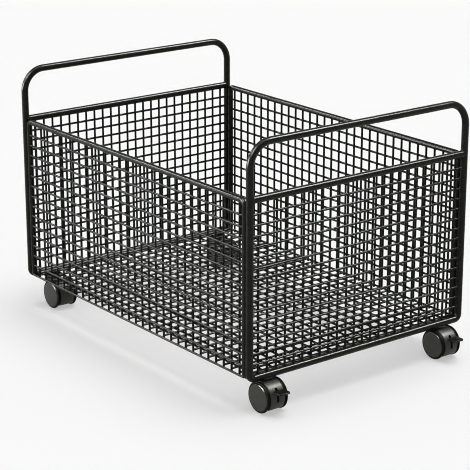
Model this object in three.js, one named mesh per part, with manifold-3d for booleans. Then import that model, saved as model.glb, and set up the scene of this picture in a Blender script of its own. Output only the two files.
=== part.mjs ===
// Mobile file cart: an open-top wire-mesh basket with a push handle at each end,
// standing on four braked twin-wheel swivel casters.
// Millimetres, +Z up. The origin is on the floor under the middle of the overall box.
// +X points to the front end, +Y to the right-hand long side.

import * as THREE from 'three';
import { mergeVertices } from 'three/addons/utils/BufferGeometryUtils.js';
import Module from 'manifold-3d';

const wasm = await Module();
wasm.setup();

// Basket frame
const END_SPACING = 588; // between the centre planes of the two end frames
const POST_SPACING = 410; // between the post centres of one end frame
const CROSSBAR_RISE = 264; // from the bottom rail's centre to the crossbar's
const HANDLE_RISE = 80; // from the crossbar's centre to the handle's
const HANDLE_BEND_RADIUS = 35; // centre line of the two upper bends
const CORNER_BEND_RADIUS = 8; // centre line of the two lower bends
const ROD_BEND_RADIUS = 7; // centre line of the side frames' bends
const SIDE_RAIL_DROP = 2.3; // side rail's centre below the crossbar's
const RAIL_DROP = 1.5; // underside of a bottom rail below that of the cross rods

// Stock and joints
const TUBE_DIAMETER = 11;
const ROD_DIAMETER = 9;
const WIRE_DIAMETER = 3.5;
const WELD_GAP = 0.3; // between two pieces that are welded together
const LAYER_GAP = 0.3; // between the crossing layers of one mesh
const TIE_SINK = 0.4; // how deep a tie wire is melted into the wires that it crosses

// Mesh pitches, rounded to whole gaps in each panel
const END_PITCH_ACROSS = 16.4;
const END_PITCH_UP = 15.8;
const SIDE_PITCH_ALONG = 18.6;
const SIDE_PITCH_UP = 17.1;
const FLOOR_PITCH_ACROSS = 18.6;
const FLOOR_LIFT = 1; // floor mesh above the centre line of the cross rods

// Casters
const WHEEL_DIAMETER = 47;
const WHEEL_RIM_WIDTH = 3;
const WHEEL_FACE_RISE = 0.9; // edge of the disc's raised face past its rim
const WHEEL_DOME = 0.3; // middle of the raised face past that edge
const WHEEL_FACE_STEP = 0.5; // depth of the ring groove round the disc's face
const WHEEL_RIM_LAND = 2; // width of the flat rim outside that groove
const DRUM_GAP = 0.8; // a wheel's inner drum to the hood's bore round it
const GROOVE_WIDTH = 2.2; // open groove between a disc and the hood
const HOOD_SETBACK = 0.2; // hood's radius short of the wheel's
const HOOD_WIDTH = 26;
const HOOD_WALL = 2;
const HOOD_EDGE = 1; // bevel along both rims of the hood
const HOOD_SKIRT = 16.5; // the axle to the hood's open lower edge
const WEB_WIDTH = 10; // middle web of the hood, which carries the axle
const BOSS_DIAMETER = 14; // swivel boss on the hood
const BOSS_STAND = 1.4; // top of the boss above the top of the hood
const BOSS_HEIGHT = 7.7;
const BOSS_FLOOR = 1.5; // material left under the kingpin
const TRAIL = 17; // axle behind the swivel axis
const CASTER_INSET_ACROSS = 34; // middle of a caster from the post's centre plane
const KINGPIN_INSET = 6.5; // swivel axis from the centre of the cross rod
const KINGPIN_DIAMETER = 8;
const AXLE_DIAMETER = 6;
const RUNNING_GAP = 0.3; // between pieces that turn on each other
const SWIVEL_GAP = 0.5; // between the boss and the plate above it
const PLATE_THICKNESS = 2;
const PLATE_WIDTH = 30;
const PLATE_REACH = 13; // plate past the swivel axis, towards the middle
const PLATE_CORNER = 4;

// Brake lever
const LEVER_REST_ANGLE = 28; // degrees above level, raised and unlocked
const LEVER_TRAVEL = 24; // degrees down to the locked position
const SLOT_MARGIN = 3; // degrees of slot past the arm at each end
const LEVER_HUB_DIAMETER = 12;
const LEVER_HUB_GAP = 1; // hub to the wall of its pocket
const LEVER_ARM_WIDTH = 3.8;
const LEVER_ARM_HEIGHT = 3.2;
const PADDLE_GAP = 2.5; // paddle's heel clear of the hood
const PADDLE_LENGTH = 17;
const PADDLE_WIDTH = 20;
const PADDLE_THICKNESS = 2.6;
const PADDLE_CORNER = 4;

// Faceting
const TUBE_SIDES = 10;
const ROD_SIDES = 10;
const WIRE_SIDES = 6;
const ROUND_SIDES = 20;
const PIN_SIDES = 10;
const BEND_CHORD = 8;
const LEAST_BEND_STEPS = 4;
const WELD_TOLERANCE = 1e-4;

// Derived sizes
const tubeRadius = TUBE_DIAMETER / 2;
const rodRadius = ROD_DIAMETER / 2;
const wireRadius = WIRE_DIAMETER / 2;
const layerOffset = wireRadius + LAYER_GAP / 2;
const wheelRadius = WHEEL_DIAMETER / 2;
const axleHeight = wheelRadius;
const hoodRadius = wheelRadius - HOOD_SETBACK;
const hoodBore = hoodRadius - HOOD_WALL;
const bossTop = axleHeight + hoodRadius + BOSS_STAND;
const plateBottom = bossTop + SWIVEL_GAP;
const plateTop = plateBottom + PLATE_THICKNESS;
const crossRodZ = plateTop + WELD_GAP + rodRadius;
const bottomRailZ = crossRodZ - rodRadius - RAIL_DROP + tubeRadius;
const crossbarZ = bottomRailZ + CROSSBAR_RISE;
const handleZ = crossbarZ + HANDLE_RISE;
const sideRailZ = crossbarZ - SIDE_RAIL_DROP;
const endX = END_SPACING / 2;
const postY = POST_SPACING / 2;
const legX = endX - tubeRadius - WELD_GAP - rodRadius;
const kingpinX = legX - KINGPIN_INSET;
const casterY = postY - CASTER_INSET_ACROSS;
const hoodHalf = HOOD_WIDTH / 2;
const webHalf = WEB_WIDTH / 2;
const discStart = hoodHalf + GROOVE_WIDTH;
const axleHalf = discStart - RUNNING_GAP;
const paddleHeel = hoodRadius + PADDLE_GAP;
const paddleTip = paddleHeel * Math.cos(THREE.MathUtils.degToRad(LEVER_REST_ANGLE)) + PADDLE_LENGTH;
const frontReach = Math.max(kingpinX + TRAIL + paddleTip, endX + tubeRadius);
const rearReach = Math.max(kingpinX - TRAIL + paddleTip, endX + tubeRadius);

// Finishes
const POWDER_BLACK = { color: 0x1d1d1c, roughness: 0.42, metalness: 0.1 };
const CASTER_BLACK = { color: 0x2b2b2a, roughness: 0.5, metalness: 0 };
const PLAIN_STEEL = { color: 0x8a8a86, roughness: 0.35, metalness: 0.9 };

// Solids

function solid(geometry) {
  const bare = geometry.clone();
  bare.deleteAttribute('normal');
  bare.deleteAttribute('uv');
  const welded = mergeVertices(bare, WELD_TOLERANCE);
  const corners = welded.index.array;
  const kept = [];
  for (let i = 0; i < corners.length; i += 3) {
    const [a, b, c] = corners.slice(i, i + 3);
    if (a !== b && b !== c && c !== a) {
      kept.push(a, b, c);
    }
  }
  const vertProperties = new Float32Array(welded.attributes.position.array);
  const triVerts = new Uint32Array(kept);
  return new wasm.Manifold(new wasm.Mesh({ numProp: 3, vertProperties, triVerts }));
}

function geometryOf(manifold) {
  const { vertProperties, triVerts } = manifold.getMesh();
  const geometry = new THREE.BufferGeometry();
  geometry.setAttribute('position', new THREE.BufferAttribute(vertProperties, 3));
  geometry.setIndex(new THREE.BufferAttribute(triVerts, 1));
  geometry.computeVertexNormals();
  return geometry;
}

function piece(name, manifold, finish) {
  const mesh = new THREE.Mesh(geometryOf(manifold), new THREE.MeshStandardMaterial(finish));
  mesh.name = name;
  return mesh;
}

function barAlongY(radius, from, to, sides) {
  const geometry = new THREE.CylinderGeometry(radius, radius, to - from, sides);
  return solid(geometry.translate(0, (from + to) / 2, 0));
}

function barAlongZ(radius, from, to, sides) {
  const geometry = new THREE.CylinderGeometry(radius, radius, to - from, sides);
  geometry.rotateX(Math.PI / 2);
  return solid(geometry.translate(0, 0, (from + to) / 2));
}

// An outline in the XZ plane, thickened to both sides of Y = 0
function slabAcrossY(shape, width) {
  const settings = { depth: width, bevelEnabled: false, curveSegments: ROUND_SIDES / 4 };
  const geometry = new THREE.ExtrudeGeometry(shape, settings);
  geometry.rotateX(Math.PI / 2);
  return solid(geometry.translate(0, width / 2, 0));
}

// An outline in the XY plane, thickened upwards from a height
function slabAbove(shape, height, thickness) {
  const settings = { depth: thickness, bevelEnabled: false, curveSegments: PIN_SIDES / 4 };
  const geometry = new THREE.ExtrudeGeometry(shape, settings);
  return solid(geometry.translate(0, 0, height));
}

function roundedRectangle(x0, x1, y0, y1, radius) {
  const quarter = Math.PI / 2;
  const shape = new THREE.Shape();
  shape.absarc(x1 - radius, y0 + radius, radius, -quarter, 0);
  shape.absarc(x1 - radius, y1 - radius, radius, 0, quarter);
  shape.absarc(x0 + radius, y1 - radius, radius, quarter, 2 * quarter);
  shape.absarc(x0 + radius, y0 + radius, radius, 2 * quarter, 3 * quarter);
  return shape;
}

// Bent tube and rod

// A centre line that is sampled only where it bends
class BentLine extends THREE.Curve {
  constructor(corners, radii) {
    super();
    this.points = [corners[0]];
    this.tangents = [];
    let along = corners[1].clone().sub(corners[0]).normalize();
    this.tangents.push(along);
    for (let i = 1; i < corners.length - 1; i += 1) {
      const onward = corners[i + 1].clone().sub(corners[i]).normalize();
      this.bend(corners[i], along, onward, radii[i - 1]);
      along = onward;
    }
    this.points.push(corners[corners.length - 1]);
    this.tangents.push(along);
  }

  bend(corner, along, onward, radius) {
    const angle = along.angleTo(onward);
    const start = corner.clone().addScaledVector(along, -radius * Math.tan(angle / 2));
    const inward = onward.clone().addScaledVector(along, -along.dot(onward)).normalize();
    const steps = Math.max(LEAST_BEND_STEPS, Math.round((radius * angle) / BEND_CHORD));
    for (let i = 0; i <= steps; i += 1) {
      const turn = (angle * i) / steps;
      const point = start.clone().addScaledVector(along, radius * Math.sin(turn));
      this.points.push(point.addScaledVector(inward, radius * (1 - Math.cos(turn))));
      const tangent = along.clone().multiplyScalar(Math.cos(turn));
      this.tangents.push(tangent.addScaledVector(inward, Math.sin(turn)));
    }
  }

  get steps() {
    return this.points.length - 1;
  }

  getPointAt(share, target = new THREE.Vector3()) {
    return target.copy(this.points[Math.round(share * this.steps)]);
  }

  getTangentAt(share, target = new THREE.Vector3()) {
    return target.copy(this.tangents[Math.round(share * this.steps)]);
  }
}

function regularPolygon(radius, sides) {
  const corners = [];
  for (let i = 0; i < sides; i += 1) {
    const angle = (2 * Math.PI * i) / sides;
    corners.push(new THREE.Vector2(radius * Math.cos(angle), radius * Math.sin(angle)));
  }
  return new THREE.Shape(corners);
}

function bentBar(corners, radii, radius, sides) {
  const line = new BentLine(corners, radii);
  const settings = { steps: line.steps, extrudePath: line };
  return solid(new THREE.ExtrudeGeometry(regularPolygon(radius, sides), settings));
}

// One closed loop of tube: bottom rail, two posts and the handle arch
function endFrame(x) {
  const halves = [-1, 1].map((side) => {
    const corners = [
      new THREE.Vector3(x, 0, bottomRailZ),
      new THREE.Vector3(x, side * postY, bottomRailZ),
      new THREE.Vector3(x, side * postY, handleZ),
      new THREE.Vector3(x, 0, handleZ),
    ];
    return bentBar(corners, [CORNER_BEND_RADIUS, HANDLE_BEND_RADIUS], tubeRadius, TUBE_SIDES);
  });
  return halves[0].add(halves[1]);
}

// A straight tube between the posts, its ends coped round them
function crossbar(x) {
  const copeRadius = (tubeRadius + WELD_GAP) / Math.cos(Math.PI / TUBE_SIDES);
  let bar = barAlongY(tubeRadius, -postY, postY, TUBE_SIDES);
  for (const side of [-1, 1]) {
    const cope = barAlongZ(copeRadius, -TUBE_DIAMETER, TUBE_DIAMETER, TUBE_SIDES);
    bar = bar.subtract(cope.translate([0, side * postY, 0]));
  }
  return bar.translate([x, 0, crossbarZ]);
}

// One bent rod: half of each bottom cross rod, two legs and the top rail of one long side
function sideFrame(side) {
  const corners = [
    new THREE.Vector3(-legX, (side * WELD_GAP) / 2, crossRodZ),
    new THREE.Vector3(-legX, side * postY, crossRodZ),
    new THREE.Vector3(-legX, side * postY, sideRailZ),
    new THREE.Vector3(legX, side * postY, sideRailZ),
    new THREE.Vector3(legX, side * postY, crossRodZ),
    new THREE.Vector3(legX, (side * WELD_GAP) / 2, crossRodZ),
  ];
  const radii = corners.slice(2).map(() => ROD_BEND_RADIUS);
  return bentBar(corners, radii, rodRadius, ROD_SIDES);
}

// Welded wire mesh

// Evenly spaced places between two limits, the limits left out
function spread(from, to, pitch) {
  const gaps = Math.round((to - from) / pitch);
  return Array.from({ length: gaps - 1 }, (_, i) => from + ((i + 1) * (to - from)) / gaps);
}

function wire(from, to, sideways, depth, isUpright) {
  const geometry = new THREE.CylinderGeometry(wireRadius, wireRadius, to - from, WIRE_SIDES);
  geometry.translate(0, (from + to) / 2, 0);
  if (!isUpright) {
    geometry.rotateZ(-Math.PI / 2);
  }
  const place = isUpright ? [sideways, 0, depth] : [0, sideways, depth];
  return solid(geometry).translate(place);
}

// A panel in its own plane: level wires along X in the outer layer, uprights along Y in the inner.
// The tie wires, one in each layer, are sunk into the wires that they cross.
function wirePanel({ levelSpan, levelPlaces, uprightSpan, uprightPlaces, levelTie }) {
  const sunk = LAYER_GAP + TIE_SINK;
  const levels = levelPlaces.map((y) => {
    const depth = layerOffset - (y === levelTie ? sunk : 0);
    return wire(levelSpan[0], levelSpan[1], y, depth, false);
  });
  const uprights = uprightPlaces.map((x, i) => {
    const depth = -layerOffset + (i === 0 ? sunk : 0);
    return wire(uprightSpan[0], uprightSpan[1], x, depth, true);
  });
  return wasm.Manifold.union([...levels, ...uprights]);
}

// Stands a panel up: its X along the given direction, its Y up and its Z outwards
function placePanel(mesh, along, up, position) {
  const outward = along.clone().cross(up);
  mesh.quaternion.setFromRotationMatrix(new THREE.Matrix4().makeBasis(along, up, outward));
  mesh.position.copy(position);
  return mesh;
}

const levelReach = legX - rodRadius - WELD_GAP;
const sidePlaces = spread(-legX - rodRadius, legX + rodRadius, SIDE_PITCH_ALONG);

function endMesh() {
  const low = bottomRailZ + tubeRadius;
  const high = crossbarZ - tubeRadius;
  const reach = postY - tubeRadius - WELD_GAP;
  const levelPlaces = spread(low, high, END_PITCH_UP);
  return wirePanel({
    levelSpan: [-reach, reach],
    levelPlaces,
    uprightSpan: [low + WELD_GAP, high - WELD_GAP],
    uprightPlaces: spread(-postY, postY, END_PITCH_ACROSS),
    levelTie: levelPlaces[levelPlaces.length - 1],
  });
}

function sideMesh() {
  const high = sideRailZ - rodRadius;
  return wirePanel({
    levelSpan: [-levelReach, levelReach],
    levelPlaces: [crossRodZ, ...spread(crossRodZ, high, SIDE_PITCH_UP)],
    uprightSpan: [crossRodZ - wireRadius, high - WELD_GAP],
    uprightPlaces: sidePlaces,
    levelTie: crossRodZ,
  });
}

function floorMesh() {
  const reach = postY - layerOffset - wireRadius - WELD_GAP;
  const levelPlaces = spread(-postY, postY, FLOOR_PITCH_ACROSS);
  return wirePanel({
    levelSpan: [-levelReach, levelReach],
    levelPlaces,
    uprightSpan: [-reach, reach],
    uprightPlaces: sidePlaces,
    levelTie: levelPlaces[0],
  });
}

// Caster pieces, with X = 0 on the axle and Z = 0 on the floor; the swivel axis is at X = -TRAIL.
// leverSide is +1 where the lever points the way the axle trails, and -1 where it points back.

function mountPlate() {
  const outer = legX + rodRadius - kingpinX;
  const half = PLATE_WIDTH / 2;
  const outline = roundedRectangle(-PLATE_REACH, outer, -half, half, PLATE_CORNER);
  const plate = slabAbove(outline, plateBottom, PLATE_THICKNESS);
  const holeRadius = KINGPIN_DIAMETER / 2 + RUNNING_GAP;
  const holeEnds = [plateBottom - PLATE_THICKNESS, plateTop + PLATE_THICKNESS];
  const hole = barAlongZ(holeRadius, ...holeEnds, PIN_SIDES);
  return plate.subtract(hole);
}

function kingpin() {
  const foot = bossTop - BOSS_HEIGHT + BOSS_FLOOR + RUNNING_GAP;
  return barAlongZ(KINGPIN_DIAMETER / 2, foot, plateTop, PIN_SIDES);
}

function leverPocket(leverSide) {
  const radius = LEVER_HUB_DIAMETER / 2 + LEVER_HUB_GAP;
  const armSpread = THREE.MathUtils.radToDeg(Math.asin(LEVER_ARM_HEIGHT / 2 / radius));
  const top = LEVER_REST_ANGLE + armSpread + SLOT_MARGIN;
  const bottom = LEVER_REST_ANGLE - LEVER_TRAVEL - armSpread - SLOT_MARGIN;
  const sides = [bottom, top].map(THREE.MathUtils.degToRad);
  const [from, to] = leverSide > 0 ? sides : [Math.PI - sides[1], Math.PI - sides[0]];
  const slotRadius = hoodRadius + HOOD_WALL;
  const slot = new THREE.Shape();
  slot.moveTo(0, 0);
  slot.lineTo(slotRadius * Math.cos(from), slotRadius * Math.sin(from));
  slot.absarc(0, 0, slotRadius, from, to);
  const width = LEVER_ARM_WIDTH + 2 * RUNNING_GAP;
  const hub = barAlongY(radius, -width / 2, width / 2, ROUND_SIDES);
  return slabAcrossY(slot, width).add(hub);
}

function hood(leverSide) {
  const bevelled = hoodRadius - HOOD_EDGE;
  const profile = [
    new THREE.Vector2(0, -hoodHalf),
    new THREE.Vector2(bevelled, -hoodHalf),
    new THREE.Vector2(hoodRadius, -hoodHalf + HOOD_EDGE),
    new THREE.Vector2(hoodRadius, hoodHalf - HOOD_EDGE),
    new THREE.Vector2(bevelled, hoodHalf),
    new THREE.Vector2(0, hoodHalf),
  ];
  const bossBottom = bossTop - BOSS_HEIGHT - axleHeight;
  const bossHigh = bossTop - axleHeight;
  const boss = barAlongZ(BOSS_DIAMETER / 2, bossBottom, bossHigh, ROUND_SIDES);
  const saddle = new THREE.BoxGeometry(TRAIL, WEB_WIDTH, BOSS_HEIGHT - BOSS_STAND);
  saddle.translate(-TRAIL / 2, 0, (bossBottom + hoodRadius) / 2);
  let shell = solid(new THREE.LatheGeometry(profile, ROUND_SIDES));
  shell = shell.add(boss.translate([-TRAIL, 0, 0])).add(solid(saddle));
  for (const side of [-1, 1]) {
    const ends = [side * webHalf, side * (hoodHalf + HOOD_WALL)].sort((a, b) => a - b);
    shell = shell.subtract(barAlongY(hoodBore, ends[0], ends[1], ROUND_SIDES));
  }
  const mouth = new THREE.BoxGeometry(WHEEL_DIAMETER, WHEEL_DIAMETER, WHEEL_DIAMETER);
  mouth.translate(0, 0, -HOOD_SKIRT - wheelRadius);
  const pinRadius = KINGPIN_DIAMETER / 2 + RUNNING_GAP;
  const pinHole = barAlongZ(pinRadius, bossBottom + BOSS_FLOOR, bossHigh + BOSS_STAND, PIN_SIDES);
  const axleHole = barAlongY(AXLE_DIAMETER / 2 + RUNNING_GAP, -hoodHalf, hoodHalf, PIN_SIDES);
  shell = shell.subtract(solid(mouth)).subtract(pinHole.translate([-TRAIL, 0, 0]));
  shell = shell.subtract(axleHole).subtract(leverPocket(leverSide));
  return shell.translate([0, 0, axleHeight]);
}

function axle() {
  return barAlongY(AXLE_DIAMETER / 2, -axleHalf, axleHalf, PIN_SIDES).translate([0, 0, axleHeight]);
}

// A wheel on the +Y side: inner drum, open groove and outer disc, with flats at the true radius
function wheel() {
  const stretch = 1 / Math.cos(Math.PI / ROUND_SIDES);
  const bore = AXLE_DIAMETER / 2 + RUNNING_GAP;
  const drum = hoodBore - DRUM_GAP;
  const inner = webHalf + RUNNING_GAP;
  const rimEnd = discStart + WHEEL_RIM_WIDTH;
  const face = wheelRadius - WHEEL_RIM_LAND;
  const profile = [
    new THREE.Vector2(0, discStart),
    new THREE.Vector2(bore, discStart),
    new THREE.Vector2(bore, inner),
    new THREE.Vector2(drum, inner),
    new THREE.Vector2(drum, discStart),
    new THREE.Vector2(wheelRadius, discStart),
    new THREE.Vector2(wheelRadius, rimEnd - WHEEL_FACE_STEP),
    new THREE.Vector2(wheelRadius - WHEEL_FACE_STEP, rimEnd),
    new THREE.Vector2(face, rimEnd),
    new THREE.Vector2(face - WHEEL_FACE_STEP, rimEnd - WHEEL_FACE_STEP),
    new THREE.Vector2(face - 2 * WHEEL_FACE_STEP, rimEnd + WHEEL_FACE_RISE),
    new THREE.Vector2(0, rimEnd + WHEEL_FACE_RISE + WHEEL_DOME),
  ];
  const stretched = profile.map((point) => new THREE.Vector2(point.x * stretch, point.y));
  const geometry = new THREE.LatheGeometry(stretched, ROUND_SIDES);
  geometry.rotateY(Math.PI / ROUND_SIDES);
  return solid(geometry);
}

function brakeLever(leverSide) {
  const rest = THREE.MathUtils.degToRad(LEVER_REST_ANGLE);
  const heelX = paddleHeel * Math.cos(rest);
  const heelZ = paddleHeel * Math.sin(rest);
  const armLength = paddleHeel + PADDLE_THICKNESS;
  const arm = new THREE.BoxGeometry(armLength, LEVER_ARM_WIDTH, LEVER_ARM_HEIGHT);
  arm.translate(armLength / 2, 0, 0);
  arm.rotateY(-rest);
  const half = PADDLE_WIDTH / 2;
  const outline = roundedRectangle(heelX, paddleTip, -half, half, PADDLE_CORNER);
  const paddle = slabAbove(outline, heelZ, PADDLE_THICKNESS);
  const armHalf = LEVER_ARM_WIDTH / 2;
  const hub = barAlongY(LEVER_HUB_DIAMETER / 2, -armHalf, armHalf, PIN_SIDES);
  const boreRadius = AXLE_DIAMETER / 2 + RUNNING_GAP;
  const bore = barAlongY(boreRadius, -LEVER_ARM_WIDTH, LEVER_ARM_WIDTH, PIN_SIDES);
  const lever = hub.add(solid(arm)).add(paddle).subtract(bore);
  const turned = leverSide > 0 ? lever : lever.rotate([0, 0, 180]);
  return turned.translate([0, 0, axleHeight]);
}

function caster(name, x, y, leverSide) {
  const group = new THREE.Group();
  group.position.set(x, y, 0);
  const outward = Math.sign(x);
  const plate = piece(`${name}_mount_plate`, mountPlate(), POWDER_BLACK);
  plate.rotation.z = outward > 0 ? 0 : Math.PI;
  group.add(plate, piece(`${name}_kingpin`, kingpin(), PLAIN_STEEL));

  const trailing = new THREE.Group();
  trailing.position.x = TRAIL;
  trailing.add(piece(`${name}_caster_hood`, hood(leverSide), CASTER_BLACK));
  trailing.add(piece(`${name}_axle`, axle(), PLAIN_STEEL));
  trailing.add(piece(`${name}_brake_lever`, brakeLever(leverSide), CASTER_BLACK));
  const rightWheel = piece(`${name}_right_wheel`, wheel(), CASTER_BLACK);
  rightWheel.position.z = axleHeight;
  const leftWheel = piece(`${name}_left_wheel`, wheel(), CASTER_BLACK);
  leftWheel.position.z = axleHeight;
  leftWheel.rotation.z = Math.PI;
  trailing.add(rightWheel, leftWheel);
  group.add(trailing);
  return group;
}

// The cart

const alongX = new THREE.Vector3(1, 0, 0);
const alongY = new THREE.Vector3(0, 1, 0);
const upwards = new THREE.Vector3(0, 0, 1);
const cart = new THREE.Group();

for (const [end, sign] of [['front', 1], ['rear', -1]]) {
  cart.add(piece(`${end}_end_frame`, endFrame(sign * endX), POWDER_BLACK));
  cart.add(piece(`${end}_crossbar`, crossbar(sign * endX), POWDER_BLACK));
  const panel = piece(`${end}_end_mesh`, endMesh(), POWDER_BLACK);
  const middle = new THREE.Vector3(sign * endX, 0, 0);
  cart.add(placePanel(panel, alongY.clone().multiplyScalar(sign), upwards, middle));
}

for (const [side, sign] of [['left', -1], ['right', 1]]) {
  cart.add(piece(`${side}_side_frame`, sideFrame(sign), POWDER_BLACK));
  const panel = piece(`${side}_side_mesh`, sideMesh(), POWDER_BLACK);
  const middle = new THREE.Vector3(0, sign * postY, 0);
  cart.add(placePanel(panel, alongX.clone().multiplyScalar(-sign), upwards, middle));
}

const floorPanel = piece('floor_mesh', floorMesh(), POWDER_BLACK);
const floorMiddle = new THREE.Vector3(0, 0, crossRodZ + FLOOR_LIFT);
cart.add(placePanel(floorPanel, alongX, alongY.clone().negate(), floorMiddle));

for (const [end, endSign] of [['front', 1], ['rear', -1]]) {
  for (const [side, sideSign] of [['left', -1], ['right', 1]]) {
    cart.add(caster(`${end}_${side}`, endSign * kingpinX, sideSign * casterY, endSign));
  }
}

cart.position.x = (rearReach - frontReach) / 2;

export default cart;
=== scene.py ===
import math

import bmesh
import bpy
from mathutils import Matrix, Vector


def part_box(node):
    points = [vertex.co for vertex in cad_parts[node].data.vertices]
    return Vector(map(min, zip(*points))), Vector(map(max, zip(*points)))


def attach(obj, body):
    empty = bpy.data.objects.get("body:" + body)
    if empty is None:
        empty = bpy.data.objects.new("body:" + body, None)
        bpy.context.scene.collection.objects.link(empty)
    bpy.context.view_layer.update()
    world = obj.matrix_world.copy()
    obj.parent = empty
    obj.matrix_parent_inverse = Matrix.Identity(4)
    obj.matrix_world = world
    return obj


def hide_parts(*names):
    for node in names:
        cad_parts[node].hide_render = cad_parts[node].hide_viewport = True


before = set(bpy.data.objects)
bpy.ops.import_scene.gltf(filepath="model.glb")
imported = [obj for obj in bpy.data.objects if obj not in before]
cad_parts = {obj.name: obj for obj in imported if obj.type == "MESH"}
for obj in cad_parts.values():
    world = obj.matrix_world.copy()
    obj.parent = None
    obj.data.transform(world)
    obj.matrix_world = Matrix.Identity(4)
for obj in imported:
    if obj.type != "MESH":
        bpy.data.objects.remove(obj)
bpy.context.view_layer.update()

MM = 0.001
X, Y, Z = Vector((1, 0, 0)), Vector((0, 1, 0)), Vector((0, 0, 1))

# Radii of tube, rod and wire, their bends, and how finely they are drawn
TUBE = 5.5 * MM
ROD = 4.5 * MM
WIRE = 1.75 * MM
FOOT_BEND = 8 * MM
HANDLE_BEND = 35 * MM
ROD_BEND = 7 * MM
TUBE_BEND_STEPS = 16
ROD_BEND_STEPS = 12
TUBE_SIDES = 32
ROD_SIDES = 28
WIRE_SIDES = 12

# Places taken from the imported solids


def middle(node):
    low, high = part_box(node)
    return (low + high) / 2


front_low, front_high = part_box("front_end_frame")
left_low, left_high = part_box("left_side_frame")
front_x = middle("front_end_frame").x
rear_x = middle("rear_end_frame").x
basket_x = (front_x + rear_x) / 2
post_y = front_high.y - TUBE
rail_z = front_low.z + TUBE
handle_z = front_high.z - TUBE
bar_z = middle("front_crossbar").z
leg_x = left_high.x - ROD - basket_x
side_rail_z = left_high.z - ROD
cross_z = left_low.z + ROD
ENDS = (("front", front_x, 1), ("rear", rear_x, -1))
SIDES = (("left", -1), ("right", 1))
CASTERS = ("front_left", "front_right", "rear_left", "rear_right")

# Materials

NOISE_LOW = 0.3
NOISE_HIGH = 0.7
DRIFT_SCALE = 28
DRIFT_DETAIL = 2
WEAR_SCALE = 140
WEAR_DETAIL = 4
GRAIN_DETAIL = 2
GRAIN_HEIGHT = 0.2 * MM
WARM_GLOSS = (1, 1, 0.9, 1)


def material(name, color, roughness, metallic, specular):
    mat = bpy.data.materials.new(name)
    mat.use_nodes = True
    nodes = mat.node_tree.nodes
    shader = nodes["Principled BSDF"]
    shader.inputs["Base Color"].default_value = (*color, 1)
    shader.inputs["Roughness"].default_value = roughness
    shader.inputs["Metallic"].default_value = metallic
    shader.inputs["Specular IOR Level"].default_value = specular
    shader.inputs["Specular Tint"].default_value = WARM_GLOSS
    return mat, nodes, mat.node_tree.links, shader


def noise(nodes, links, coords, scale, detail):
    texture = nodes.new("ShaderNodeTexNoise")
    texture.inputs["Scale"].default_value = scale
    texture.inputs["Detail"].default_value = detail
    links.new(coords.outputs["Object"], texture.inputs["Vector"])
    return texture.outputs["Fac"]


def spread(nodes, links, source, low, high):
    """Stretches a noise so that it runs from low to high."""
    ramp = nodes.new("ShaderNodeMapRange")
    ramp.inputs["From Min"].default_value = NOISE_LOW
    ramp.inputs["From Max"].default_value = NOISE_HIGH
    ramp.inputs["To Min"].default_value = low
    ramp.inputs["To Max"].default_value = high
    links.new(source, ramp.inputs["Value"])
    return ramp.outputs["Result"]


def tint(nodes, links, source, dark, light):
    mix = nodes.new("ShaderNodeMix")
    mix.data_type = "RGBA"
    mix.inputs["A"].default_value = (*dark, 1)
    mix.inputs["B"].default_value = (*light, 1)
    links.new(source, mix.inputs["Factor"])
    return mix.outputs["Result"]


def surface(name, dark, light, rough, grain, bump, metallic=0.0, specular=0.5):
    """A finish with slow colour drift, roughness drift and a fine relief."""
    mat, nodes, links, shader = material(name, dark, sum(rough) / 2, metallic, specular)
    coords = nodes.new("ShaderNodeTexCoord")
    drift = spread(nodes, links, noise(nodes, links, coords, DRIFT_SCALE, DRIFT_DETAIL), 0, 1)
    links.new(tint(nodes, links, drift, dark, light), shader.inputs["Base Color"])
    wear = noise(nodes, links, coords, WEAR_SCALE, WEAR_DETAIL)
    links.new(spread(nodes, links, wear, *rough), shader.inputs["Roughness"])
    relief = nodes.new("ShaderNodeBump")
    relief.inputs["Strength"].default_value = bump
    relief.inputs["Distance"].default_value = GRAIN_HEIGHT
    links.new(noise(nodes, links, coords, grain, GRAIN_DETAIL), relief.inputs["Height"])
    links.new(relief.outputs["Normal"], shader.inputs["Normal"])
    return mat


POWDER = surface(
    "powder_coat",
    dark=(0.004, 0.004, 0.0031),
    light=(0.0065, 0.0064, 0.005),
    rough=(0.23, 0.31),
    grain=1300,
    bump=0.02,
    specular=0.12,
)
WIRE_COAT = surface(
    "wire_coat",
    dark=(0.002, 0.002, 0.0016),
    light=(0.0035, 0.0035, 0.0028),
    rough=(0.16, 0.22),
    grain=1600,
    bump=0.03,
    specular=0.1,
)
PLASTIC = surface(
    "caster_plastic",
    dark=(0.017, 0.017, 0.0145),
    light=(0.022, 0.022, 0.0188),
    rough=(0.4, 0.45),
    grain=2600,
    bump=0.05,
    specular=0.25,
)
DISC = surface(
    "wheel_disc",
    dark=(0.017, 0.017, 0.0148),
    light=(0.021, 0.021, 0.0184),
    rough=(0.16, 0.2),
    grain=2600,
    bump=0.02,
    specular=0.4,
)
DARK_PLASTIC = surface(
    "lever_plastic",
    dark=(0.003, 0.003, 0.0026),
    light=(0.0045, 0.0045, 0.0039),
    rough=(0.3, 0.4),
    grain=2600,
    bump=0.05,
    specular=0.1,
)
# Dark rubber for the tread and rim ring. The same near-black, barely glossy material also covers the
# groove by the face and the drum and shoulder in the gap under the hood, as painted shade that makes
# that gap read black.
TREAD_AND_GAP_SHADE = surface(
    "wheel_tread_and_painted_gap_shade",
    dark=(0.0015, 0.0015, 0.0013),
    light=(0.0025, 0.0025, 0.0021),
    rough=(0.5, 0.6),
    grain=2000,
    bump=0.06,
    specular=0.04,
)
STEEL = surface(
    "plain_steel",
    dark=(0.42, 0.42, 0.41),
    light=(0.5, 0.5, 0.49),
    rough=(0.28, 0.4),
    grain=900,
    bump=0.06,
    metallic=1.0,
)

# Building blocks

BAR_SMOOTH = 40
MESH_SMOOTH = 60
MOULDED_SMOOTH = 35
ON_AXIS = 1e-7
CORNER_STEPS = 6


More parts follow.
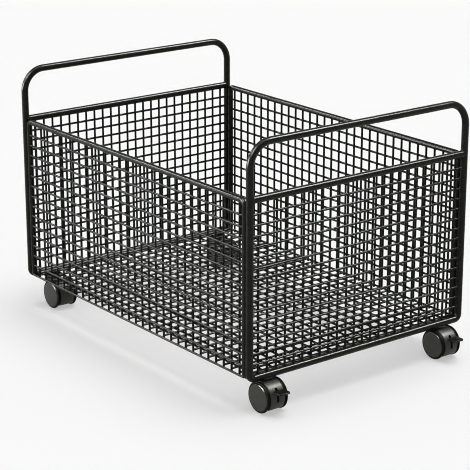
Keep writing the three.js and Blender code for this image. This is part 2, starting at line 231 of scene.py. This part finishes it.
def mesh_from(name, bm):
    """The finished mesh, with its faces turned outwards."""
    mesh = bpy.data.meshes.new(name)
    bmesh.ops.recalc_face_normals(bm, faces=bm.faces)
    bm.to_mesh(mesh)
    bm.free()
    return mesh


def link(name, data):
    obj = bpy.data.objects.new(name, data)
    bpy.context.scene.collection.objects.link(obj)
    return obj


def dress(obj, mat, body, nodes, smooth):
    obj.data.materials.clear()
    obj.data.materials.append(mat)
    obj.data.shade_smooth()
    obj.data.set_sharp_from_angle(angle=math.radians(smooth))
    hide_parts(*nodes)
    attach(obj, body)


def put(name, bm, mat, body, nodes, smooth=BAR_SMOOTH):
    dress(link(name, mesh_from(name, bm)), mat, body, nodes, smooth)


def bent_line(corners, radii, steps):
    """Points along straight runs joined by round bends."""
    points = [corners[0]]
    for i in range(1, len(corners) - 1):
        along = (corners[i] - corners[i - 1]).normalized()
        onward = (corners[i + 1] - corners[i]).normalized()
        angle = along.angle(onward)
        radius = radii[i - 1]
        start = corners[i] - along * radius * math.tan(angle / 2)
        inward = (onward - along * along.dot(onward)).normalized()
        for k in range(steps + 1):
            turn = angle * k / steps
            ahead = along * radius * math.sin(turn)
            points.append(start + ahead + inward * radius * (1 - math.cos(turn)))
    points.append(corners[-1])
    return points


def join(bm, rings):
    """Faces from each ring of points to the next; a ring of one point is a pole."""
    for ring, onward in zip(rings, rings[1:]):
        count = max(len(ring), len(onward))
        for k in range(count):
            n = (k + 1) % count
            if len(ring) == 1:
                bm.faces.new((ring[0], onward[k], onward[n]))
            elif len(onward) == 1:
                bm.faces.new((ring[k], ring[n], onward[0]))
            else:
                bm.faces.new((ring[k], ring[n], onward[n], onward[k]))


def cap(bm, rings):
    bm.faces.new(rings[0][::-1])
    bm.faces.new(rings[-1])


def sweep(bm, points, radius, sides, closed=False):
    """A round bar along points, with rings square to the path."""
    count = len(points)
    tangents = []
    for i in range(count):
        before = points[i - 1] if i or closed else points[i]
        after = points[(i + 1) % count] if i < count - 1 or closed else points[i]
        tangents.append((after - before).normalized())
    across = tangents[0].orthogonal().normalized()
    rings = []
    for i, point in enumerate(points):
        if i:
            across = tangents[i - 1].rotation_difference(tangents[i]) @ across
        across = (across - tangents[i] * across.dot(tangents[i])).normalized()
        other = tangents[i].cross(across)
        ring = []
        for k in range(sides):
            turn = 2 * math.pi * k / sides
            spoke = across * math.cos(turn) + other * math.sin(turn)
            ring.append(bm.verts.new(point + spoke * radius))
        rings.append(ring)
    if closed:
        join(bm, rings + rings[:1])
    else:
        join(bm, rings)
        cap(bm, rings)


def lathe(bm, profile, segments, at=Matrix.Identity(4)):
    """Turns (radius, y) points about Y; points on the axis become poles."""
    rings = []
    for radius, y in profile:
        if radius < ON_AXIS:
            rings.append([bm.verts.new(at @ Vector((0, y, 0)))])
            continue
        ring = []
        for k in range(segments):
            turn = 2 * math.pi * k / segments
            spoke = Vector((radius * math.sin(turn), y, radius * math.cos(turn)))
            ring.append(bm.verts.new(at @ spoke))
        rings.append(ring)
    join(bm, rings)


def cylinder(radius, low, high):
    """The profile of a plain cylinder, for lathe."""
    return [(0, low), (radius, low), (radius, high), (0, high)]


def rounded(corner_from, corner, corner_to, radius, steps):
    """Profile points that round one corner."""
    corners = [Vector((*point, 0)) for point in (corner_from, corner, corner_to)]
    line = bent_line(corners, [radius], steps)
    return [(point.x, point.y) for point in line[1:-1]]


def slab(bm, outline, low, high, edge, steps):
    """A flat plate between two heights, its rims rounded."""
    count = len(outline)
    levels = []
    for k in range(steps + 1):
        turn = math.pi / 2 * k / steps
        levels.append((low + edge * (1 - math.cos(turn)), edge * (1 - math.sin(turn))))
    levels += [(low + high - z, inset) for z, inset in reversed(levels)]
    rings = []
    for z, inset in levels:
        ring = []
        for i, (x, y) in enumerate(outline):
            along = (Vector(outline[(i + 1) % count]) - Vector(outline[i - 1])).normalized()
            ring.append(bm.verts.new((x - along.y * inset, y + along.x * inset, z)))
        rings.append(ring)
    join(bm, rings)
    cap(bm, rings)


def rectangle(x0, x1, y0, y1, radius):
    """The outline of a rectangle with round corners."""
    left, right = x0 + radius, x1 - radius
    front, back = y0 + radius, y1 - radius
    points = []
    for cx, cy, start in ((right, front, -90), (right, back, 0), (left, back, 90), (left, front, 180)):
        for k in range(CORNER_STEPS + 1):
            turn = math.radians(start + 90 * k / CORNER_STEPS)
            points.append((cx + radius * math.cos(turn), cy + radius * math.sin(turn)))
    return points


# End frames and crossbars

CROSSBAR = TUBE - 0.02 * MM
CROSSBAR_SETBACK = 2 * MM
RING_BEAD = 0.7 * MM
RING_SETBACK = 1.6 * MM
RING_STEPS = 60
RING_SIDES = 10


def weld_ring(bm, x, side):
    """The bead where a crossbar meets a post of the same size."""
    path = []
    for k in range(RING_STEPS):
        turn = 2 * math.pi * k / RING_STEPS
        depth = math.hypot(TUBE * math.sin(turn), RING_SETBACK)
        y = side * (post_y - depth)
        path.append(Vector((x + TUBE * math.cos(turn), y, bar_z + TUBE * math.sin(turn))))
    sweep(bm, path, RING_BEAD, RING_SIDES, closed=True)


for end, x, _ in ENDS:
    loop = []
    for side in (1, -1):
        corners = [
            Vector((x, 0, rail_z)),
            Vector((x, side * post_y, rail_z)),
            Vector((x, side * post_y, handle_z)),
            Vector((x, 0, handle_z)),
        ]
        half = bent_line(corners, [FOOT_BEND, HANDLE_BEND], TUBE_BEND_STEPS)
        loop += half[:-1] if side > 0 else half[:0:-1]
    bm = bmesh.new()
    sweep(bm, loop, TUBE, TUBE_SIDES, closed=True)
    put(f"{end}_end_frame_tube", bm, POWDER, "basket", [f"{end}_end_frame"])

    bm = bmesh.new()
    reach = post_y - CROSSBAR_SETBACK
    sweep(bm, [Vector((x, y, bar_z)) for y in (-reach, reach)], CROSSBAR, TUBE_SIDES)
    weld_ring(bm, x, 1)
    weld_ring(bm, x, -1)
    put(f"{end}_crossbar_tube", bm, POWDER, "basket", [f"{end}_crossbar"])

# Side frames, with the seams that join their legs to the posts

ROD_END = 0.15 * MM
SEAM_BEAD = 0.95 * MM
SEAM_OFFSET = 1.5 * MM
SEAM_DROP = 22 * MM
SEAM_RISE = 20 * MM
SEAM_POINTS_MM = range(-9, 10, 3)
SEAM_SIDES = 8

for side_name, side in SIDES:
    y = side * post_y
    near, far = basket_x + leg_x, basket_x - leg_x
    corners = [
        Vector((far, side * ROD_END, cross_z)),
        Vector((far, y, cross_z)),
        Vector((far, y, side_rail_z)),
        Vector((near, y, side_rail_z)),
        Vector((near, y, cross_z)),
        Vector((near, side * ROD_END, cross_z)),
    ]
    bm = bmesh.new()
    sweep(bm, bent_line(corners, [ROD_BEND] * (len(corners) - 2), ROD_BEND_STEPS), ROD, ROD_SIDES)
    for x, post in ((near, front_x), (far, rear_x)):
        seam_x = x + math.copysign(ROD, post - x)
        for z in (side_rail_z - SEAM_DROP, cross_z + SEAM_RISE):
            for face in (-1, 1):
                seam_y = y + face * SEAM_OFFSET
                line = [Vector((seam_x, seam_y, z + dz * MM)) for dz in SEAM_POINTS_MM]
                sweep(bm, line, SEAM_BEAD, SEAM_SIDES)
    put(f"{side_name}_side_frame_rod", bm, POWDER, "basket", [f"{side_name}_side_frame"])

# Welded wire mesh, with its counts of gaps

END_ROWS = 16
END_COLUMNS = 25
SIDE_ROWS = 15
SIDE_COLUMNS = 31
FLOOR_ROWS = 22
PRESS = 0.18 * MM
NUGGET = 0.9 * MM
SINK = 1 * MM
LOW_WIRE_REACH = 2.6 * MM
FLOOR_SETBACK = 2.6 * MM
FLOOR_RISE = 1 * MM


def places(low, high, gaps, first=False):
    """Where the wires between low and high lie, and one at low itself if first is set."""
    inner = [low + (high - low) * k / gaps for k in range(1, gaps)]
    return [low] + inner if first else inner


def basis(along, up, origin):
    axes = Matrix((along, up, along.cross(up))).transposed()
    return Matrix.Translation(origin) @ axes.to_4x4()


def panel(name, node, levels, level_span, uprights, upright_span, at, lowest_extra=0):
    """Level wires in the outer layer, uprights in the inner, pressed into each other at the welds."""
    bm = bmesh.new()
    out = WIRE - PRESS
    for v in levels:
        extra = lowest_extra if v == levels[0] else 0
        ends = (level_span[0] - extra, level_span[1] + extra)
        sweep(bm, [at @ Vector((u, v, out)) for u in ends], WIRE, WIRE_SIDES)
    for u in uprights:
        sweep(bm, [at @ Vector((u, v, -out)) for v in upright_span], WIRE, WIRE_SIDES)
    for u in uprights:
        for v in levels:
            nugget = at @ Matrix.Translation((u, v, 0)) @ Matrix.Diagonal((WIRE, WIRE, NUGGET, 1))
            bmesh.ops.create_icosphere(bm, subdivisions=1, radius=1, matrix=nugget)
    put(name, bm, WIRE_COAT, "basket", [node], smooth=MESH_SMOOTH)


end_low, end_high = rail_z + TUBE, bar_z - TUBE
end_reach = post_y - TUBE + SINK
for end, x, facing in ENDS:
    panel(
        f"{end}_end_wires",
        f"{end}_end_mesh",
        places(end_low, end_high, END_ROWS),
        (-end_reach, end_reach),
        places(-post_y, post_y, END_COLUMNS),
        (end_low - SINK, end_high + SINK),
        basis(Y * facing, Z, Vector((x, 0, 0))),
    )
span = leg_x + ROD
side_columns = places(-span, span, SIDE_COLUMNS)
side_reach = leg_x - ROD + SINK
side_high = side_rail_z - ROD
for side_name, side in SIDES:
    panel(
        f"{side_name}_side_wires",
        f"{side_name}_side_mesh",
        places(cross_z, side_high, SIDE_ROWS, first=True),
        (-side_reach, side_reach),
        side_columns,
        (cross_z - WIRE, side_high + SINK),
        basis(X * -side, Z, Vector((basket_x, side * post_y, 0))),
        lowest_extra=LOW_WIRE_REACH,
    )
floor_reach = post_y - FLOOR_SETBACK
panel(
    "floor_wires",
    "floor_mesh",
    places(-post_y, post_y, FLOOR_ROWS),
    (-side_reach, side_reach),
    side_columns,
    (-floor_reach, floor_reach),
    basis(X, -Y, Vector((basket_x, 0, cross_z + FLOOR_RISE))),
)

# Casters, modelled about the axle

WHEEL = 23.5 * MM
TRAIL = 17 * MM
UPRIGHT = Matrix.Rotation(math.pi / 2, 4, "X")
ROUND = 96
BOSS_ROUND = 48
PIN_ROUND = 32

AXLE = 3 * MM
AXLE_HALF = 14.9 * MM
AXLE_HOLE = 3.3 * MM

HOOD = 23.3 * MM
HOOD_HALF = 12.7 * MM
HOOD_BORE = 21.3 * MM
HOOD_EDGE = 1.1 * MM
HOOD_EDGE_STEPS = 5
HOOD_CLEARANCE = 7 * MM
WEB = 5 * MM
BORE_END = 20 * MM
BEYOND = 30 * MM

BOSS = 7 * MM
BOSS_LOW = 17 * MM
BOSS_HIGH = 24.7 * MM
BOSS_EDGE = 0.8 * MM
RIB_INSET = 0.1 * MM
RIB_DROP = 1.2 * MM
KINGPIN = 4 * MM
KINGPIN_EDGE = 0.4 * MM
KINGPIN_HOLE = 4.3 * MM
KINGPIN_HOLE_LOW = 18.5 * MM

SLOT_HALF = 2.2 * MM
SLOT_LOW = math.radians(-11)
SLOT_HIGH = math.radians(43.5)
SLOT_REACH = 27 * MM
SLOT_STEPS = 14
HUB_POCKET = 7 * MM


def combine(obj, tool, operation):
    """Adds the tool to the object or cuts it away, and removes the tool."""
    modifier = obj.modifiers.new("combine", "BOOLEAN")
    modifier.object = tool
    modifier.operation = operation
    modifier.solver = "EXACT"
    bpy.context.view_layer.update()
    graph = bpy.context.evaluated_depsgraph_get()
    mesh = bpy.data.meshes.new_from_object(obj.evaluated_get(graph))
    obj.modifiers.clear()
    obj.data = mesh
    bpy.data.objects.remove(tool)


def block(low, high):
    bm = bmesh.new()
    size = [b - a for a, b in zip(low, high)]
    centre = [(a + b) / 2 for a, b in zip(low, high)]
    bmesh.ops.create_cube(bm, size=1, matrix=Matrix.Translation(centre) @ Matrix.Diagonal((*size, 1)))
    return link("tool", mesh_from("tool", bm))


def turned(name, profile, segments, at=Matrix.Identity(4)):
    bm = bmesh.new()
    lathe(bm, profile, segments, at)
    return link(name, mesh_from(name, bm))


def slot_wedge(lever_side):
    """The wedge that the lever's arm sweeps through."""
    bm = bmesh.new()
    outline = [(0, 0)]
    for k in range(SLOT_STEPS + 1):
        turn = SLOT_LOW + (SLOT_HIGH - SLOT_LOW) * k / SLOT_STEPS
        outline.append((SLOT_REACH * math.cos(turn), SLOT_REACH * math.sin(turn)))
    near = [bm.verts.new((lever_side * x, -SLOT_HALF, z)) for x, z in outline]
    far = [bm.verts.new((lever_side * x, SLOT_HALF, z)) for x, z in outline]
    bm.faces.new(near)
    bm.faces.new(far[::-1])
    for k in range(len(outline)):
        n = (k + 1) % len(outline)
        bm.faces.new((near[n], near[k], far[k], far[n]))
    return link("tool", mesh_from("tool", bm))


def hood_mesh(lever_side):
    """A barrel with an open skirt, a web across its middle, a swivel boss and a lever slot."""
    profile = [(0, -WEB), (HOOD_BORE, -WEB), (HOOD_BORE, -HOOD_HALF)]
    lower = ((HOOD_BORE, -HOOD_HALF), (HOOD, -HOOD_HALF), (HOOD, 0))
    upper = ((HOOD, 0), (HOOD, HOOD_HALF), (HOOD_BORE, HOOD_HALF))
    profile += rounded(*lower, HOOD_EDGE, HOOD_EDGE_STEPS)
    profile += rounded(*upper, HOOD_EDGE, HOOD_EDGE_STEPS)
    profile += [(HOOD_BORE, HOOD_HALF), (HOOD_BORE, WEB), (0, WEB)]
    hood = turned("hood", profile, ROUND)

    swivel = Matrix.Translation((-TRAIL, 0, 0)) @ UPRIGHT
    boss = [(0, BOSS_LOW), (BOSS, BOSS_LOW), (BOSS, BOSS_HIGH - BOSS_EDGE)]
    boss += [(BOSS - BOSS_EDGE, BOSS_HIGH), (0, BOSS_HIGH)]
    combine(hood, turned("tool", boss, BOSS_ROUND, swivel), "UNION")
    rib_half = WEB - RIB_INSET
    combine(hood, block((-TRAIL, -rib_half, BOSS_LOW), (0, rib_half, HOOD - RIB_DROP)), "UNION")

    for low, high in ((-BORE_END, -WEB), (WEB, BORE_END)):
        combine(hood, turned("tool", cylinder(HOOD_BORE, low, high), ROUND), "DIFFERENCE")
    below = block((-BEYOND, -BEYOND, -BEYOND), (BEYOND, BEYOND, HOOD_CLEARANCE - WHEEL))
    combine(hood, below, "DIFFERENCE")
    pin = cylinder(KINGPIN_HOLE, KINGPIN_HOLE_LOW, BEYOND)
    combine(hood, turned("tool", pin, PIN_ROUND, swivel), "DIFFERENCE")
    hole = cylinder(AXLE_HOLE, -HOOD_HALF, HOOD_HALF)
    combine(hood, turned("tool", hole, PIN_ROUND), "DIFFERENCE")
    pocket = cylinder(HUB_POCKET, -SLOT_HALF, SLOT_HALF)
    combine(hood, turned("tool", pocket, BOSS_ROUND), "DIFFERENCE")
    combine(hood, slot_wedge(lever_side), "DIFFERENCE")
    mesh = hood.data
    bpy.data.objects.remove(hood)
    return mesh


# Wheels: radii of the drum, shoulder and face, and distances from the caster's middle

DRUM = 20.5 * MM
DRUM_START = 5.3 * MM
DRUM_EDGE = 0.5 * MM
SHOULDER = 22.4 * MM
SHOULDER_START = 13.1 * MM
SHOULDER_EDGE = 0.4 * MM
TREAD_START = 15.4 * MM
TREAD_EDGE = 0.6 * MM
TREAD_EDGE_STEPS = 4
RIM_END = 18.2 * MM
RIM_EDGE = 1.3 * MM
RIM_EDGE_STEPS = 6
FACE = 20.5 * MM
FACE_INNER = 10 * MM
FACE_EDGE = 1.5 * MM
FACE_EDGE_STEPS = 10
FACE_RISE = 0.9 * MM
FACE_SLOPE = 0.2 * MM
FACE_DOME = 0.3 * MM
FACE_FLAT = FACE - 2 * MM
FACE_RINGS = 5
GROOVE_DEPTH = 0.7 * MM
GROOVE_TOP = 0.5 * MM
GROOVE_FLOOR = 0.3 * MM
DISC_EDGE = 20.6 * MM
DISC_START = 15.5 * MM


def wheel_mesh(side):
    """A cup that runs inside the hood, a tread beside it and a domed face."""
    profile = [(0, TREAD_START), (AXLE_HOLE, TREAD_START), (AXLE_HOLE, DRUM_START)]
    profile += [(DRUM - DRUM_EDGE, DRUM_START), (DRUM, DRUM_START + DRUM_EDGE)]
    profile += [(DRUM, SHOULDER_START), (SHOULDER - SHOULDER_EDGE, SHOULDER_START)]
    profile += [(SHOULDER, SHOULDER_START + SHOULDER_EDGE), (SHOULDER, TREAD_START)]
    tread, rim = (WHEEL, TREAD_START), (WHEEL, RIM_END)
    profile += rounded((SHOULDER, TREAD_START), tread, rim, TREAD_EDGE, TREAD_EDGE_STEPS)
    profile += rounded(tread, rim, (DRUM, RIM_END), RIM_EDGE, RIM_EDGE_STEPS)
    sunk, crown = RIM_END - GROOVE_DEPTH, RIM_END + FACE_RISE
    profile += [(FACE + GROOVE_TOP, RIM_END), (FACE + GROOVE_FLOOR, sunk), (FACE, sunk)]
    face_bend = ((FACE, sunk), (FACE, crown), (FACE_INNER, crown + FACE_SLOPE))
    profile += rounded(*face_bend, FACE_EDGE, FACE_EDGE_STEPS)
    for k in range(1, FACE_RINGS + 1):
        radius = FACE_FLAT * (1 - k / FACE_RINGS)
        profile.append((radius, crown + FACE_DOME * (1 - (radius / FACE) ** 2)))
    bm = bmesh.new()
    lathe(bm, [(radius, side * y) for radius, y in profile], ROUND)
    return mesh_from("wheel", bm)


# Brake levers: a paddle on an arm that turns on the axle, raised at rest

LEVER_REST = math.radians(28)
PADDLE_GAP = 2.5 * MM
PADDLE_LENGTH = 17 * MM
PADDLE_HALF = 10 * MM
PADDLE_CORNER = 4 * MM
PADDLE_THICK = 2.6 * MM
PADDLE_EDGE = 0.8 * MM
PADDLE_EDGE_STEPS = 3
ARM_MIDDLE = 16.45 * MM
ARM_SIZE = (23.9 * MM, 3.8 * MM, 3.2 * MM)
ARM_EDGE = 0.4 * MM
ARM_EDGE_STEPS = 2
HUB = 6 * MM
HUB_HALF = 1.9 * MM
SAME_POINT = 1e-7


def lever_mesh(lever_side):
    heel = HOOD + PADDLE_GAP
    heel_x, heel_z = heel * math.cos(LEVER_REST), heel * math.sin(LEVER_REST)
    bm = bmesh.new()
    paddle = rectangle(heel_x, heel_x + PADDLE_LENGTH, -PADDLE_HALF, PADDLE_HALF, PADDLE_CORNER)
    slab(bm, paddle, heel_z, heel_z + PADDLE_THICK, PADDLE_EDGE, PADDLE_EDGE_STEPS)
    along_arm = Matrix.Rotation(-LEVER_REST, 4, "Y") @ Matrix.Translation((ARM_MIDDLE, 0, 0))
    arm = bmesh.ops.create_cube(bm, size=1, matrix=along_arm @ Matrix.Diagonal((*ARM_SIZE, 1)))
    edges = [edge for edge in bm.edges if edge.verts[0] in arm["verts"]]
    bmesh.ops.bevel(bm, geom=edges, offset=ARM_EDGE, segments=ARM_EDGE_STEPS, affect="EDGES")
    ring = [(AXLE_HOLE, -HUB_HALF), (HUB, -HUB_HALF), (HUB, HUB_HALF), (AXLE_HOLE, HUB_HALF)]
    lathe(bm, ring + ring[:1], PIN_ROUND)
    if lever_side < 0:
        bmesh.ops.rotate(bm, verts=bm.verts, cent=(0, 0, 0), matrix=Matrix.Rotation(math.pi, 3, "Z"))
    bmesh.ops.remove_doubles(bm, verts=bm.verts, dist=SAME_POINT)
    return mesh_from("lever", bm)


# The four casters put in place

PLATE_CORNER = 4 * MM
PLATE_EDGE = 0.3 * MM
PLATE_EDGE_STEPS = 2


def moulding(name, mesh, where, mat, body, node):
    """A copy of a caster's moulded piece, set at its axle."""
    mesh = mesh.copy()
    mesh.transform(Matrix.Translation(where))
    obj = link(name, mesh)
    dress(obj, mat, body, [node], MOULDED_SMOOTH)
    return obj


HOODS = {side: hood_mesh(side) for side in (1, -1)}
LEVERS = {side: lever_mesh(side) for side in (1, -1)}
WHEELS = {side: wheel_mesh(side) for side in (1, -1)}

for name in CASTERS:
    lever_side = 1 if name.startswith("front") else -1
    axle = middle(f"{name}_axle")
    body = f"{name}_caster"
    moulding(f"{name}_hood_shell", HOODS[lever_side], axle, PLASTIC, body, f"{name}_caster_hood")
    for side_name, side in SIDES:
        node = f"{name}_{side_name}_wheel"
        wheel = moulding(f"{node}_disc", WHEELS[side], axle, DISC, f"{node}_body", node)
        # The dark material goes on faces past the face's edge and inside the hood: real dark rubber on
        # the rim ring and tread, painted shade on the groove and on the drum in the hood gap.
        wheel.data.materials.append(TREAD_AND_GAP_SHADE)
        for face in wheel.data.polygons:
            offset = face.center - axle
            outside = math.hypot(offset.x, offset.z) > DISC_EDGE or abs(offset.y) < DISC_START
            face.material_index = 1 if outside else 0
    lever_node = f"{name}_brake_lever"
    moulding(f"{name}_brake_paddle", LEVERS[lever_side], axle, DARK_PLASTIC, f"{name}_brake", lever_node)

    bm = bmesh.new()
    lathe(bm, cylinder(AXLE, -AXLE_HALF, AXLE_HALF), PIN_ROUND, Matrix.Translation(axle))
    put(f"{name}_axle_pin", bm, STEEL, body, [f"{name}_axle"])

    pin_low, pin_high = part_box(f"{name}_kingpin")
    pin_middle = (pin_low + pin_high) / 2
    pin = [(0, pin_low.z), (KINGPIN - KINGPIN_EDGE, pin_low.z), (KINGPIN, pin_low.z + KINGPIN_EDGE)]
    pin += [(KINGPIN, pin_high.z), (0, pin_high.z)]
    bm = bmesh.new()
    lathe(bm, pin, PIN_ROUND, Matrix.Translation((pin_middle.x, pin_middle.y, 0)) @ UPRIGHT)
    put(f"{name}_kingpin_pin", bm, STEEL, "basket", [f"{name}_kingpin"])

    plate_low, plate_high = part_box(f"{name}_mount_plate")
    plate = rectangle(plate_low.x, plate_high.x, plate_low.y, plate_high.y, PLATE_CORNER)
    bm = bmesh.new()
    slab(bm, plate, plate_low.z, plate_high.z, PLATE_EDGE, PLATE_EDGE_STEPS)
    put(f"{name}_mount_plate_sheet", bm, POWDER, "basket", [f"{name}_mount_plate"])

# Floor, partly glowing for the camera and for reflections, so that it is white and keeps the shadow

FLOOR_HALF = 20
FLOOR_COLOR = (0.9, 0.9, 0.897)
FLOOR_ROUGHNESS = 0.9
GLOW_COLOR = (0.97, 0.97, 0.97, 1)
GLOW_SHARE = 0.45


def math_node(nodes, operation):
    node = nodes.new("ShaderNodeMath")
    node.operation = operation
    return node


bm = bmesh.new()
bmesh.ops.create_grid(bm, x_segments=1, y_segments=1, size=FLOOR_HALF)
floor_mesh = bpy.data.meshes.new("floor")
bm.to_mesh(floor_mesh)
bm.free()
floor = link("floor", floor_mesh)
floor_mat, nodes, links, floor_shader = material(
    "floor_white", FLOOR_COLOR, FLOOR_ROUGHNESS, metallic=0, specular=0
)
glow = nodes.new("ShaderNodeEmission")
glow.inputs["Color"].default_value = GLOW_COLOR
glow.inputs["Strength"].default_value = 1
ray = nodes.new("ShaderNodeLightPath")
mirrored = math_node(nodes, "MAXIMUM")
links.new(ray.outputs["Is Glossy Ray"], mirrored.inputs[0])
links.new(ray.outputs["Is Transmission Ray"], mirrored.inputs[1])
seen = math_node(nodes, "MAXIMUM")
links.new(ray.outputs["Is Camera Ray"], seen.inputs[0])
links.new(mirrored.outputs["Value"], seen.inputs[1])
share = math_node(nodes, "MULTIPLY")
share.inputs[1].default_value = GLOW_SHARE
links.new(seen.outputs["Value"], share.inputs[0])
mix = nodes.new("ShaderNodeMixShader")
links.new(share.outputs["Value"], mix.inputs["Fac"])
links.new(floor_shader.outputs["BSDF"], mix.inputs[1])
links.new(glow.outputs["Emission"], mix.inputs[2])
links.new(mix.outputs["Shader"], nodes["Material Output"].inputs["Surface"])
floor.data.materials.append(floor_mat)

# A studio with a white wall up to a low height and a dim ceiling

WALL_TOP = 0.1
CEILING_START = 0.3
WALL_LIGHT = 0.95
CEILING_LIGHT = 0.34

world = bpy.data.worlds.new("studio")
bpy.context.scene.world = world
world.use_nodes = True
nodes, links = world.node_tree.nodes, world.node_tree.links
nodes.clear()
world_output = nodes.new("ShaderNodeOutputWorld")
ambient = nodes.new("ShaderNodeBackground")
ambient.inputs["Strength"].default_value = 1
coords = nodes.new("ShaderNodeTexCoord")
split = nodes.new("ShaderNodeSeparateXYZ")
links.new(coords.outputs["Generated"], split.inputs["Vector"])
wall = nodes.new("ShaderNodeMapRange")
wall.interpolation_type = "SMOOTHSTEP"
wall.inputs["From Min"].default_value = WALL_TOP
wall.inputs["From Max"].default_value = CEILING_START
wall.inputs["To Min"].default_value = WALL_LIGHT
wall.inputs["To Max"].default_value = CEILING_LIGHT
links.new(split.outputs["Z"], wall.inputs["Value"])
links.new(wall.outputs["Result"], ambient.inputs["Color"])
links.new(ambient.outputs["Background"], world_output.inputs["Surface"])

# Lamps: the key lights the object, the others only make highlights

LAMP_DISTANCE = 3


def sun(name, direction, strength, angle, gloss_only=False):
    light = bpy.data.lights.new(name, "SUN")
    light.energy = strength
    light.angle = math.radians(angle)
    lamp = link(name, light)
    back = Vector(direction).normalized()
    lamp.location = back * LAMP_DISTANCE
    lamp.rotation_mode = "QUATERNION"
    lamp.rotation_quaternion = (-back).to_track_quat("-Z", "Y")
    lamp.visible_diffuse = not gloss_only


sun("key", (0.08, 0.16, 0.98), strength=2.2, angle=40)
sun("strip", (0.24, 0.58, 0.78), strength=6, angle=12, gloss_only=True)
sun("rim", (-0.77, -0.42, 0.48), strength=2, angle=10, gloss_only=True)
sun("glint", (0.02, -0.62, 0.78), strength=12, angle=32, gloss_only=True)
sun("glint_low", (-0.5, -0.85, 0.15), strength=12, angle=24, gloss_only=True)

# Camera at the photograph's viewing angle

SENSOR = 36
LENS = 135.66
YAW = math.radians(142.349)
PITCH = math.radians(17.663)
CAMERA_OFFSET = Vector((2.123, -1.6418, 1.0105))
CLIP_END = 100
PIXEL_FILTER = 1.0

camera_data = bpy.data.cameras.new("camera")
camera_data.sensor_width = SENSOR
camera_data.lens = LENS
camera_data.clip_end = CLIP_END
camera = link("camera", camera_data)
bpy.context.scene.camera = camera
flat = math.cos(PITCH)
forward = Vector((math.cos(YAW) * flat, math.sin(YAW) * flat, -math.sin(PITCH)))
camera.location = CAMERA_OFFSET + X * basket_x
camera.rotation_mode = "QUATERNION"
camera.rotation_quaternion = forward.to_track_quat("-Z", "Y")

bpy.context.scene.view_settings.view_transform = "Standard"
bpy.context.scene.cycles.filter_width = PIXEL_FILTER
